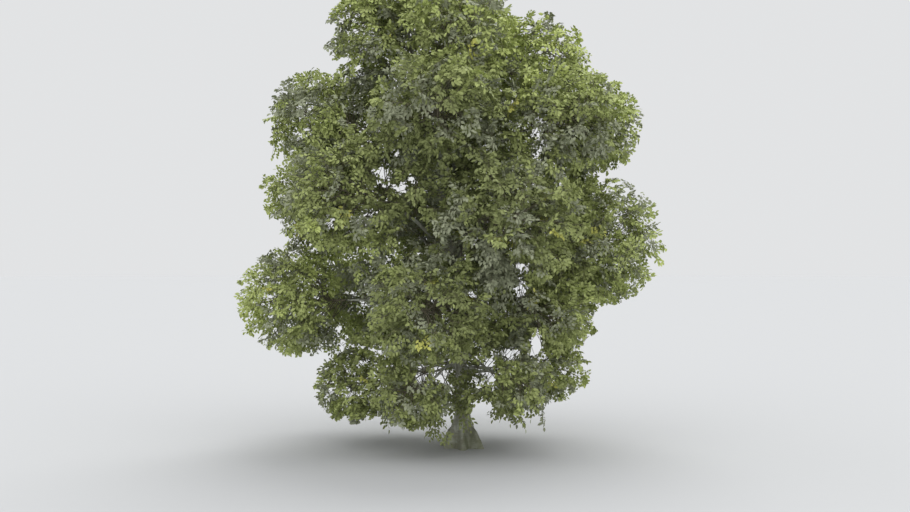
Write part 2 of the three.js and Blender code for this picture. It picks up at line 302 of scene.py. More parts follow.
# %% The path of each bough
SECOND_BEARS = FORK_HEIGHT + FORK_LIFT[2] / 3  # boughs that fork lower are the trunk's
BOUGH_MASS_SHARE = 0.042  # base radius as a share of the radius of the mass that it carries
BOUGH_STEM_SHARE = 0.66  # and at most this share of its stem's radius at the fork
BOUGH_TIP = 0.04  # radius
BOUGH_ARCH = math.radians(16)  # how much steeper than the straight way it leaves the stem
BOUGH_FLATTENING = 0.5  # share of the slope that is left at the tip
BOUGH_HOLD = 0.36  # from an end to the next control point, as a share of the straight way
BOUGH_ENTRY = 0.62  # from the tip to the middle of the mass, as a share of the mass's radius
BOUGH_CLEARANCE = 0.08
BOUGH_NUDGE = 0.06  # a step up the stem


def nearer_stem(mass):
    def distance(stem):
        abreast = stem.path.at(stem.path.share_at_height(mass["centre"][2]))
        return np.linalg.norm(abreast - mass["centre"])

    is_trunk = mass["fork"] < SECOND_BEARS or distance(trunk) < distance(second_stem)
    return trunk if is_trunk else second_stem


def bough_path(mass, stem, fork):
    start = stem.path.at(stem.path.share_at_height(fork))
    span = mass["centre"] - start
    heading = unit(span * (1, 1, 0))
    slope = math.atan2(span[2], span @ heading)

    def towards(angle):
        return heading * math.cos(angle) + np.array([0, 0, math.sin(angle)])

    last_way = towards(slope * BOUGH_FLATTENING)
    tip = mass["centre"] - last_way * mass["radius"] * BOUGH_ENTRY
    hold = np.linalg.norm(tip - start) * BOUGH_HOLD
    return Path(start, start + towards(slope + BOUGH_ARCH) * hold, tip - last_way * hold, tip)


def outside(limb, stem):
    """Which of a limb's places have left its stem."""
    gaps = np.linalg.norm(limb.spots[:, None] - stem.spots, axis=-1)
    return (gaps > stem.radii).all(axis=1)


def is_clear(bough, stem, others):
    free = outside(bough, stem)
    for other in others:
        gaps = np.linalg.norm(bough.spots[free][:, None] - other.spots, axis=-1)
        if (gaps <= bough.radii[free][:, None] + other.radii + BOUGH_CLEARANCE).any():
            return False
    return True


limbs = [trunk, second_stem]
for mass in masses:
    if mass["tier"] == "top":
        continue
    stem = nearer_stem(mass)
    stem_radius = stem.radius_at(stem.path.share_at_height(mass["fork"]))
    base = min(mass["radius"] * BOUGH_MASS_SHARE, stem_radius * BOUGH_STEM_SHARE)
    others = [limb for limb in limbs if limb is not stem]
    fork = mass["fork"]
    while True:
        path = bough_path(mass, stem, fork)
        bough = Limb(f"bough_{mass['name']}", path, even_taper(base, BOUGH_TIP))
        if is_clear(bough, stem, others):
            break
        fork += BOUGH_NUDGE
    free = outside(bough, stem)
    bough.spots, bough.radii = bough.spots[free], bough.radii[free]
    bough.stem_radius = stem_radius
    mass["carrier"] = bough
    limbs.append(bough)

tip_errors = []
for limb in limbs:
    tip = limb.path.at(1.0)
    tip_errors.append(np.abs(np.clip(tip, *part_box(limb.name)) - tip).max())
print("limbs:", len(limbs), "- tips leave the frame's by at most", round(1000 * max(tip_errors), 1), "mm")

# %% [markdown]
# ## Modelling a limb
#
# A limb is drawn out of a disc, as one would by hand: extrude the disc along Z ring by ring, resize
# each new ring, and then bend the straight limb along a curve with the Curve modifier. The Subdivision
# Surface and Displace modifiers then give the relief: long soft swellings like muscles, and fine
# wrinkles across the limb. All of them are applied, so the finished limb is a plain mesh.

# %% Tools for limbs
GUIDE_STEPS = 64  # of the curve that a limb is bent along


def draw_out(name, sides, heights, radii):
    """A straight limb on the Z axis, extruded ring by ring from a disc."""
    bpy.ops.object.select_all(action="DESELECT")
    bpy.ops.mesh.primitive_circle_add(
        vertices=sides, radius=radii[0], fill_type="NGON", location=(0, 0, heights[0])
    )
    limb = bpy.context.active_object
    limb.name = name
    bpy.ops.object.transform_apply(location=True, rotation=False, scale=False)
    bpy.ops.object.mode_set(mode="EDIT")
    bpy.ops.mesh.select_all(action="SELECT")
    for below, above, thick, thin in zip(heights, heights[1:], radii, radii[1:]):
        bpy.ops.mesh.extrude_region_move(TRANSFORM_OT_translate={"value": (0, 0, above - below)})
        bpy.ops.transform.resize(value=(thin / thick, thin / thick, 1), center_override=(0, 0, above))
    bpy.ops.mesh.select_all(action="SELECT")
    bpy.ops.mesh.normals_make_consistent(inside=False)
    bpy.ops.object.mode_set(mode="OBJECT")
    return limb


def apply_modifiers(piece):
    bpy.ops.object.select_all(action="DESELECT")
    piece.select_set(True)
    bpy.context.view_layer.objects.active = piece
    for modifier in list(piece.modifiers):
        bpy.ops.object.modifier_apply(modifier=modifier.name)


def bend_along(limb, path):
    """Bends a straight limb along a path with the Curve modifier."""
    bpy.ops.curve.primitive_bezier_curve_add()
    guide = bpy.context.active_object
    guide.data.resolution_u = GUIDE_STEPS
    first, last = guide.data.splines[0].bezier_points
    for point in (first, last):
        point.handle_left_type = point.handle_right_type = "FREE"
    start, leaving, arriving, tip = path.controls
    first.co, first.handle_right, last.handle_left, last.co = start, leaving, arriving, tip
    first.handle_left, last.handle_right = 2 * start - leaving, 2 * tip - arriving
    bend = limb.modifiers.new("bend", "CURVE")
    bend.object = guide
    bend.deform_axis = "POS_Z"
    apply_modifiers(limb)
    bpy.data.objects.remove(guide)


def add_relief(limb, depths):
    """Rounds a limb and displaces it: each depth is (metres, grain in metres, stretch along Z)."""
    rounding = limb.modifiers.new("rounding", "SUBSURF")
    rounding.levels = rounding.render_levels = 1
    rulers = []
    for k, (depth, grain, stretch) in enumerate(depths):
        bpy.ops.object.empty_add(scale=(1, 1, stretch))
        rulers.append(bpy.context.active_object)
        cloud = bpy.data.textures.new(f"relief_{k}", "CLOUDS")
        cloud.noise_scale = grain
        relief = limb.modifiers.new(f"relief_{k}", "DISPLACE")
        relief.texture = cloud
        relief.texture_coords = "OBJECT"
        relief.texture_coords_object = rulers[-1]
        relief.strength = depth
    apply_modifiers(limb)
    for ruler in rulers:
        bpy.data.objects.remove(ruler)
    bpy.ops.object.shade_smooth()


def triangles(piece):
    return sum(len(face.vertices) - 2 for face in piece.data.polygons)


print("tools for limbs: draw out, bend along, add relief")

# %% [markdown]
# ## The trunk and its root flare
#
# A beech stands on a bole that spreads into root ridges. Scaling the whole foot would make a cone, so
# single strips of points are selected, ring by ring, and pushed out from the middle: most on a ridge,
# and not at all in the hollow between two ridges. The trunk is drawn out from a little below the
# ground and then cut flat at ground level.

# %% Trunk
TRUNK_SIDES, TRUNK_RINGS = 48, 52
TRUNK_CROWDING = 1.7  # above 1, rings stand closer together near the ground
BELOW_GROUND = 0.2
RING_TOLERANCE = 0.004  # in height, to tell the points of a ring
RIDGES = 6
RIDGE_REACH = 0.68  # added to the bole's radius at the ground along a root ridge
RIDGE_UNEVENNESS = 0.25  # how much less the shortest ridge reaches, as a share
RIDGE_SHARPNESS = 1.5  # above 1, ridges are narrower than the hollows
TRUNK_RELIEF = [(0.03, 0.22, 5), (0.012, 0.07, 0.35)]  # swellings and wrinkles


def select_points(piece, chosen):
    """Opens a piece for editing with only these points selected."""
    mesh = piece.data
    mesh.polygons.foreach_set("select", np.zeros(len(mesh.polygons), bool))
    mesh.edges.foreach_set("select", np.zeros(len(mesh.edges), bool))
    mesh.vertices.foreach_set("select", chosen)
    bpy.context.view_layer.objects.active = piece
    bpy.ops.object.mode_set(mode="EDIT")


def points_of(piece):
    points = np.empty(3 * len(piece.data.vertices), np.float32)
    piece.data.vertices.foreach_get("co", points)
    return points.reshape(-1, 3)


def ridge_reach(angle):
    """How far the root ridges stand out at the ground, beyond the hollows."""
    ridge = ((1 - np.cos(RIDGES * angle)) / 2) ** RIDGE_SHARPNESS
    uneven = 1 - RIDGE_UNEVENNESS * (1 + np.sin(2 * angle)) / 2
    return ridge * (RIDGE_REACH * uneven - HOLLOW_REACH)


def push_out_ridges(piece, heights):
    """Pushes the foot of the trunk out into root ridges, one upright strip of points at a time."""
    points = points_of(piece)
    strips = np.round(TRUNK_SIDES * np.arctan2(points[:, 1], points[:, 0]) / math.tau) % TRUNK_SIDES
    for height in heights[heights < FLARE_HEIGHT]:
        on_ring = np.abs(points[:, 2] - height) < RING_TOLERANCE
        radius = trunk_radius(trunk.path.share_at_height(max(height, 0)))
        for strip in range(TRUNK_SIDES):
            push = 1 + root_flare(height) * ridge_reach(math.tau * strip / TRUNK_SIDES) / radius
            select_points(piece, on_ring & (strips == strip))
            bpy.ops.transform.resize(value=(push, push, 1), center_override=(0, 0, height))
            bpy.ops.object.mode_set(mode="OBJECT")


ring_shares = np.linspace(0, 1, TRUNK_RINGS) ** TRUNK_CROWDING
ring_heights = np.append(-BELOW_GROUND, ring_shares * trunk.path.length)
ring_radii = trunk_radius(np.maximum(ring_heights, 0) / trunk.path.length)
trunk_piece = draw_out("beech_trunk", TRUNK_SIDES, ring_heights, ring_radii)
bend_along(trunk_piece, trunk.path)
push_out_ridges(trunk_piece, ring_heights)
add_relief(trunk_piece, TRUNK_RELIEF)
bpy.ops.object.mode_set(mode="EDIT")
bpy.ops.mesh.select_all(action="SELECT")
bpy.ops.mesh.bisect(plane_co=(0, 0, 0), plane_no=(0, 0, 1), use_fill=True, clear_inner=True)
bpy.ops.object.mode_set(mode="OBJECT")
lowest_point = round(float(points_of(trunk_piece)[:, 2].min()), 4)
print("trunk:", triangles(trunk_piece), "triangles, lowest point at", lowest_point)

# %% [markdown]
# ## The second stem and the boughs
#
# They are drawn out in the same way, with fewer sides. Each begins inside its stem, and a collar
# swells it where it comes out, as on a living fork, so rings stand closer together there. The boughs
# of a tier are joined into one piece.

# %% Second stem and boughs
SECOND_SIDES, SECOND_RINGS = 20, 36
BOUGH_SIDES, BOUGH_RINGS = 10, 14
LIMB_CROWDING = 1.3  # above 1, rings stand closer together near the stem
COLLAR = 0.45  # how much a collar adds to the limb's radius, as a share
COLLAR_SPREAD = 1.8  # how far it runs out along the limb, in radii of the base
LIMB_RELIEF = [(0.016, 0.18, 2), (0.006, 0.05, 1)]  # swellings and wrinkles


def make_limb(limb, stem_radius, sides, rings):
    shares = np.linspace(0, 1, rings) ** LIMB_CROWDING
    lengths = shares * limb.path.length
    spread = COLLAR_SPREAD * limb.radius_at(0.0)
    collar = 1 + COLLAR * np.exp(-(np.maximum(lengths - stem_radius, 0) / spread) ** 2)
    piece = draw_out(limb.name + "_bark", sides, lengths, limb.radius_at(shares) * collar)
    bend_along(piece, limb.path)
    add_relief(piece, LIMB_RELIEF)
    return piece


def join(pieces, name):
    bpy.ops.object.select_all(action="DESELECT")
    for piece in pieces:
        piece.select_set(True)
    bpy.context.view_layer.objects.active = pieces[0]
    bpy.ops.object.join()
    joined = bpy.context.active_object
    joined.name = name
    joined.data.name = name
    return joined


fork_radius = trunk_radius(trunk.path.share_at_height(FORK_HEIGHT))
second_piece = make_limb(second_stem, fork_radius, SECOND_SIDES, SECOND_RINGS)
second_piece.name = "beech_second_stem"
bough_pieces = {}
for tier_name in TIERS:
    carriers = [mass["carrier"] for mass in masses if mass["tier"] == tier_name]
    made = [make_limb(bough, bough.stem_radius, BOUGH_SIDES, BOUGH_RINGS) for bough in carriers]
    bough_pieces[tier_name] = join(made, f"beech_boughs_{tier_name}")
    print("boughs of the", tier_name, "tier:", triangles(bough_pieces[tier_name]), "triangles")

# %% [markdown]
# ## Bark
#
# Beech bark is thin and stays smooth: pale grey, mottled with paler lichen, dark in long streaks, finely
# wrinkled across the limb, with patches of moss, and darker and greener towards the ground. A picture of
# bark would stretch over the forks, so noise at several scales gives all of that. Shader maths is written
# as plain sums: a small class wraps a socket, and each sum on it adds a Math node.


# %% Shader sums
class Wire:
    """A socket in a material that can stand in a sum."""

    def __init__(self, tree, socket=None):
        self.tree = tree
        self.socket = socket

    def fill(self, node, sockets):
        """Gives a node's sockets their values or wires."""
        for name, value in sockets.items():
            if isinstance(value, Wire):
                self.tree.links.new(value.socket, node.inputs[name])
            else:
                node.inputs[name].default_value = value

    def node(self, kind, settings=None, sockets=None, output=0):
        """Adds a node: its settings first, then its sockets. Gives one of its outputs."""
        made = self.tree.nodes.new("ShaderNode" + kind)
        for name, value in (settings or {}).items():
            setattr(made, name, value)
        self.fill(made, sockets or {})
        return Wire(self.tree, made.outputs[output])

    def maths(self, operation, other):
        return self.node("Math", {"operation": operation, "use_clamp": True}, {0: self, 1: other})

    def __add__(self, other):
        return self.maths("ADD", other)

    def __mul__(self, other):
        return self.maths("MULTIPLY", other)

    __radd__ = __add__
    __rmul__ = __mul__


def plain(red, green, blue):
    """A colour in the usual steps from 0 to 255, as the light that Blender counts in."""
    shares = np.array([red, green, blue]) / 255
    light = np.where(shares <= 0.04045, shares / 12.92, ((shares + 0.055) / 1.055) ** 2.4)
    return (*light.tolist(), 1)


def new_material(name):
    """A material, a wire to start its nodes from, and its shader."""
    material = bpy.data.materials.new(name)
    material.use_nodes = True
    return material, Wire(material.node_tree), material.node_tree.nodes["Principled BSDF"]


print("a middle grey of 128 is", round(plain(128, 128, 128)[0], 3), "of full light")

# %% Bark material
BARK_GREY = plain(170, 170, 156)
BARK_LICHEN = plain(206, 208, 197)
BARK_DARK = plain(106, 104, 91)
BARK_MOSS = plain(104, 108, 78)
FOOT_HEIGHT = 1.2  # up to here the bark grows darker and greener towards the ground
LICHEN_SHARE, STREAK_SHARE, WRINKLE_SHARE = 0.85, 0.65, 0.25  # of each colour at its strongest
MOSS_SHARE, FOOT_SHARE = 0.5, 0.45
WRINKLE_DEPTH, GRAIN_DEPTH, STREAK_DEPTH = 0.55, 0.25, 0.2  # shares of the bump
BUMP_STRENGTH, BUMP_DEPTH = 0.5, 0.02
BARK_ROUGHNESS, LICHEN_ROUGHNESS = 0.72, 0.15  # and what lichen adds
BARK_GLOSS = 0.25
SMOOTH = {"interpolation_type": "SMOOTHSTEP"}

bark, wire, shader = new_material("beech_bark")
spot = wire.node("TexCoord", output="Object")


def mottle(scale, detail, stretch, low, high):
    """Noise between two thresholds, as a mask from 0 to 1."""
    stretched = wire.node("Mapping", sockets={"Vector": spot, "Scale": stretch})
    noise = wire.node("TexNoise", sockets={"Vector": stretched, "Scale": scale, "Detail": detail})
    return wire.node("MapRange", SMOOTH, {"Value": noise, "From Min": low, "From Max": high})


def mixed(share, first, second):
    """A Mix node for colours, whose two colours are sockets 6 and 7."""
    return wire.node("Mix", {"data_type": "RGBA"}, {0: share, 6: first, 7: second}, output=2)


lichen = mottle(scale=3.2, detail=7, stretch=(1, 1, 0.8), low=0.5, high=0.58)
streaks = mottle(scale=3.5, detail=4, stretch=(1, 1, 0.18), low=0.48, high=0.7)
wrinkles = mottle(scale=16, detail=3, stretch=(0.35, 0.35, 1.6), low=0.42, high=0.62)
grain = mottle(scale=60, detail=2, stretch=(1, 1, 1), low=0.3, high=0.7)
moss = mottle(scale=1.1, detail=3, stretch=(1, 1, 0.5), low=0.5, high=0.72)
above_ground = wire.node("SeparateXYZ", sockets={0: spot}, output="Z")
# The foot grows darker and greener towards the ground, mixed towards the moss colour.
foot = wire.node("MapRange", SMOOTH, {"Value": above_ground, "From Min": FOOT_HEIGHT, "From Max": 0})
colour = mixed(lichen * LICHEN_SHARE, BARK_GREY, BARK_LICHEN)
colour = mixed(streaks * STREAK_SHARE, colour, BARK_DARK)
colour = mixed(wrinkles * WRINKLE_SHARE, colour, BARK_DARK)
# Moss patches, and the darker, greener foot, in the same colour.
colour = mixed(moss * MOSS_SHARE + foot * FOOT_SHARE, colour, BARK_MOSS)
relief = wrinkles * WRINKLE_DEPTH + grain * GRAIN_DEPTH + streaks * STREAK_DEPTH
bump_sockets = {"Strength": BUMP_STRENGTH, "Distance": BUMP_DEPTH, "Height": relief}
bump = wire.node("Bump", {"invert": True}, bump_sockets)
roughness = BARK_ROUGHNESS + lichen * LICHEN_ROUGHNESS
wire.fill(shader, {"Base Color": colour, "Roughness": roughness, "Normal": bump})
wire.fill(shader, {"Specular IOR Level": BARK_GLOSS})

wooden = [(trunk_piece, ["trunk"]), (second_piece, ["co_leader"])]
for tier_name, piece in bough_pieces.items():
    wooden.append((piece, [f"bough_{mass['name']}" for mass in masses if mass["tier"] == tier_name]))
for piece, nodes in wooden:
    piece.data.materials.clear()
    piece.data.materials.append(bark)
    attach(piece, "root")
    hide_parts(*nodes)
print("bark on", len(wooden), "pieces,", sum(triangles(piece) for piece, _ in wooden), "triangles")

# %% [markdown]
# ## Where the sky shows
#
# From the photographed side the sky shows through the crown in a few small places. Each is given as an
# ellipse where the trunk stands, and sprays and leaves that would cover it from the viewing point are
# left out. Every spray draws its own limit, so that the edges are ragged, and limbs may cross the gap.

# %% Gaps in the crown
EYE = np.array([-0.27, -45.5, 6.88])  # the viewing point of the photographed side
SKY_GAPS = np.array(
    [  # middle from the trunk and from the ground, half width, half height
        (-2.36, 10.55, 0.16, 0.2),
        (-2.93, 9.83, 0.3, 0.16),
        (-2.18, 9.32, 0.36, 0.22),
        (-1.82, 9.61, 0.16, 0.2),
        (-4.77, 8.03, 0.25, 0.25),
        (-0.05, 6.98, 0.15, 0.4),
        (0.45, 7.34, 0.12, 0.16),
        (2.18, 6.44, 0.32, 0.28),
        (2.11, 5.65, 0.33, 0.33),
        (0.38, 5.44, 0.16, 0.2),
        (-1.49, 2.63, 0.35, 0.45),
        (-0.81, 2.74, 0.25, 0.65),
        (2.68, 3.71, 0.38, 0.54),
        (1.85, 3.38, 0.34, 0.27),
        (0.99, 2.77, 0.32, 0.62),
        (0.63, 1.35, 0.32, 0.5),
    ]
)
EDGE_WAVES = [(0.3, 2, 3), (0.2, 5, 1)]  # height, waves in a round, and shift from gap to gap


def before_sky(places, limits):
    """Which places stand before a sky gap, seen from the viewing point, for gaps this much wider."""
    from_eye = places - EYE
    seen = EYE + from_eye * (-EYE[1] / from_eye[:, 1])[:, None]
    across = (seen[:, None, 0] - SKY_GAPS[:, 0]) / SKY_GAPS[:, 2]
    upward = (seen[:, None, 2] - SKY_GAPS[:, 1]) / SKY_GAPS[:, 3]
    bearing = np.arctan2(upward, across)
    number = np.arange(len(SKY_GAPS))
    edge = sum((high * np.sin(waves * bearing + shift * number) for high, waves, shift in EDGE_WAVES), 1)
    return (np.hypot(across, upward) < edge * limits[:, None]).any(axis=1)


print("sky gaps:", len(SKY_GAPS))

# %% [markdown]
# ## Branches
#
# Inside a mass a stem runs on from the tip of its bough. The ends of its branches are spread evenly
# inside the skin of the mass, each turned from the last by the golden angle, as in the frame, but there
# are more of them, and some grow on into the gaps between masses. Boughs and stems carry side branches
# on their way, which fill the crown round the trunk: each takes the most open of a few directions, and
# the low ones droop. Arrays hold all of it, because thousands of objects would be slow.

# %% Directions
GOLDEN_ANGLE = math.radians(137.5)
WAY_SCATTER = 0.1
NEAR_X = 0.8  # a direction with a larger share of X is crossed with Y instead
UP = np.array([0, 0, 1.0])


def cross_axes(ways):
    """Two directions square to each of these and to each other."""
    guide = np.where(np.abs(ways[..., :1]) < NEAR_X, (1.0, 0, 0), (0, 1.0, 0))
    first = unit(guide - (guide * ways).sum(-1, keepdims=True) * ways)
    return first, np.cross(first, ways)


def turned_ways(tangents, forward, chance):
    """Directions round a limb, turned by the golden angle, with these cosines to the limb."""
    first, second = cross_axes(tangents)
    rolls = (chance.uniform(0, math.tau) + np.arange(len(tangents)) * GOLDEN_ANGLE)[:, None]
    around = np.cos(rolls) * first + np.sin(rolls) * second
    ways = np.sqrt(1 - forward**2)[:, None] * around + forward[:, None] * tangents
    return unit(ways + chance.normal(0, WAY_SCATTER, ways.shape))


print("square to up:", *(axis.tolist() for axis in cross_axes(UP)))

# %% Branches in a mass
BRANCHES = 20  # to each metre of a mass's radius
BACKMOST = -0.5  # cosine between the stem's way and the way from the middle to the last branch's end
BRANCH_REACH = (0.68, 0.95)  # shares of the way from the middle to the skin
MEETING = 0.11  # added to that share where two masses meet
GAP_FILL = 0.8  # how far branches in the core grow on into a gap between masses
GAP_SHARES = (0.3, 1)  # what they draw of that
BRANCH_LEAN = 0.7  # how far along its stem a branch starts before its end, to each metre aside
FIRST_ON_STEM = 0.4  # share of the stem over which branches that would start before it are spread
GOLDEN_SHARE = 0.618  # the step of that spreading


def mass_branches(k, start, length, chance):
    """Where the branches of mass k start and end. Their ends are spread evenly inside its skin."""
    mass = masses[k]
    way = mass["carrier"].path.last_way
    count = round(BRANCHES * mass["radius"])
    forward = BACKMOST + (1 - BACKMOST) * (np.arange(count) + 0.5) / count
    outward = turned_ways(np.tile(way, (count, 1)), forward, chance)
    centres = np.tile(mass["centre"], (count, 1))
    room = room_along(centres, outward, lambda places: in_space(places, k))
    beyond = centres + outward * (room + GAP_FILL)[:, None]
    into_gap = in_core(beyond) & (powers(beyond).min(axis=1) > 0)
    share = chance.uniform(*BRANCH_REACH, count) + MEETING * in_crown(beyond)
    reach = room * share + into_gap * GAP_FILL * chance.uniform(*GAP_SHARES, count)
    ends = centres + outward * reach[:, None]
    along = (ends - start) @ way
    aside = np.linalg.norm(ends - start - along[:, None] * way, axis=1)
    lowest = FIRST_ON_STEM * length * (np.arange(count) * GOLDEN_SHARE % 1)
    return start + way * np.clip(along - BRANCH_LEAN * aside, lowest, length)[:, None], ends


print("branches in the masses:", sum(round(BRANCHES * radius) for radius in mass_radii))

# %% Side branches on the limbs
SIDE_BRANCH = 1.5  # length of a branch on a limb outside the masses
SIDE_LENGTHS = (0.7, 1.25)  # shares of it that such branches have
SIDE_FORWARD = 0.55  # cosine between such a branch and its limb
SIDE_STEP = 0.3  # between such branches along the limb
SIDE_TRIES = 3  # directions that such a branch has to choose from
OPEN_ENOUGH = 2.5  # it takes the first that ends this far from all masses, in square metres
SIDE_LIFT = (2.5, 6), (-0.4, 0.2)  # heights, and how much such branches rise there
LOWEST_ON_STEMS = 3.6  # height where they begin on the trunk and the second stem
FIRST_ON_BOUGHS = 0.28  # share of a bough's length where they begin
LAST_ON_LIMBS = 0.97  # and where they end
A_LITTLE = 0.01  # share of a limb's length, to find its direction


def limb_branches(k, chance):
    """Where branches on the limb that carries mass k start and end. Each grows to the open side."""
    path = masses[k]["carrier"].path
    is_stem = masses[k]["tier"] == "top"
    first = path.share_at_height(LOWEST_ON_STEMS) if is_stem else FIRST_ON_BOUGHS
    shares = np.arange(first, LAST_ON_LIMBS, SIDE_STEP / path.length)
    starts = path.at(shares)
    tangents = unit(path.at(shares + A_LITTLE) - starts)
    lengths = SIDE_BRANCH * chance.uniform(*SIDE_LENGTHS, (len(shares), 1))
    lifts = UP * np.interp(starts[:, 2:], *SIDE_LIFT)
    forward = np.full(len(shares), SIDE_FORWARD)
    tries = []
    for _ in range(SIDE_TRIES):
        ways = unit(turned_ways(tangents, forward, chance) + lifts)
        tries.append(starts + ways * lengths)
    openness = np.array([np.where(in_core(ends), powers(ends).min(axis=1), -1) for ends in tries])
    openness = np.minimum(openness, OPEN_ENOUGH)
    return starts, np.array(tries)[openness.argmax(axis=0), np.arange(len(shares))]


print("side branches: one every", SIDE_STEP, "m of a limb")

# %% All branches of a mass
STEM_END = 0.3  # how far the stem runs past the middle of its mass, as a share of the mass's radius
SHORTEST_BRANCH = 0.5
BRANCH_LIFT = (2, 9, 16), (-0.1, 0.0, 0.1)  # heights of masses, and how much their branches bend up
BEND_SPREAD = 0.05


def grow_branches(k, chance):
    """The ends of the stem in mass k, and the branches on it and on its limb, marked as inner."""
    mass = masses[k]
    start, way = mass["carrier"].path.at(1.0), mass["carrier"].path.last_way
    length = np.linalg.norm(mass["centre"] - start) + STEM_END * mass["radius"]
    starts, ends = mass_branches(k, start, length, chance)
    side_starts, side_ends = limb_branches(k, chance)
    inner = np.arange(len(starts) + len(side_starts)) >= len(starts)
    starts, ends = np.concatenate([starts, side_starts]), np.concatenate([ends, side_ends])
    lengths = np.linalg.norm(ends - starts, axis=1)
    kept = lengths > SHORTEST_BRANCH
    starts, ends, lengths, inner = starts[kept], ends[kept], lengths[kept], inner[kept]
    lift = np.interp(mass["centre"][2], *BRANCH_LIFT)
    bends = UP * (lift + chance.normal(0, BEND_SPREAD, (len(lengths), 1)))
    ways = (ends - starts) / lengths[:, None] - bends
    branches = dict(starts=starts, ways=ways, bends=bends, lengths=lengths, inner=inner)
    return (start, start + way * length), branches


def along_branch(branches, owner, t):
    """The places on branches, and the directions there."""
    t = t[:, None]
    length = branches["lengths"][owner][:, None]
    way, bend = branches["ways"][owner], branches["bends"][owner]
    return branches["starts"][owner] + length * (way * t + bend * t**2), unit(way + 2 * bend * t)


print("branches of", SHORTEST_BRANCH, "m or less are left out")

# %% [markdown]
# ## Sprays
#
# The outer half of every branch carries flat sprays, again turned by the golden angle, which droop a
# little. A spray stops where the crown ends. A beech crown is leafy outside and bare within, so in a
# mass the sprays that stand nearest to the trunk are left out, and so are those before a sky gap.

# %% Grow the sprays
SPRAY_STEP = 0.18  # between sprays along a branch
SPRAY_SPAN = 0.55  # share of a branch, from its tip, that carries sprays
FEWEST_SPRAYS = 2  # on a branch
SPRAY_LENGTH = 0.74
SPRAY_LENGTHS = (0.7, 1.15)  # shares of it that sprays have
SHORTEST_SPRAY = 0.3
LOWEST_TIP = 0.6
SPRAY_LEAN = (42, 68)  # degrees from the branch
SPRAY_DROOP = (0.16, 0.2)  # mean and spread
SPRAY_SCATTER = 0.12
SPRAY_ROLL = 0.6
TINY = 1e-6  # so that an upright branch has a direction across it too
INNER_LIMIT = -0.5  # sprays further in than this share of the mass's radius are left out
OPEN_SKY = (0.5, 1.3)  # how wide a spray leaves the sky gaps open, as a share of their width
PAST_SKIN = (-0.1, 0.3)  # how far leaves pass their mass's ball, mean and spread in square metres
BRANCH_TONE, SPRAY_TONE = 0.15, 0.1  # how much branches and sprays differ in lightness
GREY_SHARE = 0.3  # of the branches, whose leaves are grey-green


def in_reach(places, sprays, each=1):
    """Which places, so many to each spray, its leaves may fill: in the crown and not before the sky."""
    limits = ("inner", "open_sky", "past_skin")
    inner, open_sky, past_skin = (np.repeat(sprays[name], each) for name in limits)
    inside = inner | in_core(places) | (powers(places).min(axis=1) < past_skin)
    return inside & ~before_sky(places, open_sky)


def grow_sprays(k, branches, chance):
    """Flat sprays on the branches of mass k, as one array for each of their properties."""
    lengths = branches["lengths"]
    counts = np.maximum(FEWEST_SPRAYS, (SPRAY_SPAN * lengths / SPRAY_STEP).astype(int) + 1)
    owner = np.repeat(np.arange(len(lengths)), counts)
    count = len(owner)
    order = np.concatenate([np.arange(number) for number in counts])
    share = 1 - order * SPRAY_STEP / lengths[owner]
    roots, tangents = along_branch(branches, owner, share)
    across = unit(np.cross(tangents, UP) + TINY)
    turn = (order * GOLDEN_ANGLE + chance.uniform(0, math.tau, len(lengths))[owner])[:, None]
    around = np.cos(turn) * across + np.sin(turn) * np.cross(across, tangents)
    lean = np.where(order == 0, 0, np.radians(chance.uniform(*SPRAY_LEAN, count)))[:, None]
    ways = np.cos(lean) * tangents + np.sin(lean) * around
    droop = chance.normal(*SPRAY_DROOP, (count, 1))
    ways = unit(ways - UP * droop + chance.normal(0, SPRAY_SCATTER, (count, 3)))

    inner = branches["inner"][owner]
    room = np.maximum(room_along(roots, ways, in_crown), SHORTEST_SPRAY)
    room = np.where(inner, SPRAY_LENGTH, room)
    spray_lengths = np.minimum(room, SPRAY_LENGTH * chance.uniform(*SPRAY_LENGTHS, count))
    facings = unit(UP - (ways @ UP)[:, None] * ways)
    roll = chance.normal(0, SPRAY_ROLL, (count, 1))
    facings = np.cos(roll) * facings + np.sin(roll) * np.cross(ways, facings)
    open_sky = chance.uniform(*OPEN_SKY, count)
    past_skin = chance.normal(*PAST_SKIN, count)
    tone = chance.normal(0, BRANCH_TONE, len(lengths))[owner] + chance.normal(0, SPRAY_TONE, count)
    grey = (chance.uniform(0, 1, len(lengths)) < GREY_SHARE)[owner]

    sprays = dict(roots=roots, ways=ways, facings=facings, lengths=spray_lengths)
    sprays.update(owner=owner, share=share, inner=inner, open_sky=open_sky, past_skin=past_skin)
    sprays.update(tone=tone, grey=grey)
    tips = roots + ways * spray_lengths[:, None]
    middle = (roots + tips) / 2
    mass = masses[k]
    outwardness = (middle - mass["centre"]) @ mass["carrier"].path.last_way / mass["radius"]
    kept = (tips[:, 2] > LOWEST_TIP) & (inner | (outwardness > INNER_LIMIT))
    kept &= in_reach(middle, sprays)
    return {name: values[kept] for name, values in sprays.items()}


growth = []
for k in range(len(masses)):
    chance = np.random.default_rng(SEED + k + 1)
    stem_ends, branches = grow_branches(k, chance)
    growth.append((stem_ends, branches, grow_sprays(k, branches, chance)))
branch_count = sum(len(branches["lengths"]) for _, branches, _ in growth)
print("branches:", branch_count, "sprays:", sum(len(sprays["lengths"]) for *_, sprays in growth))

# %% [markdown]
# ## The form of a spray
#
# A beech spray is flat. Leaves stand to the left and right by turns along a zigzag shoot, and side
# shoots carry more. A few forms are made once, each of unit length in its own plane, and dealt out to
# the sprays, some of them mirrored, so that neighbours seldom match.

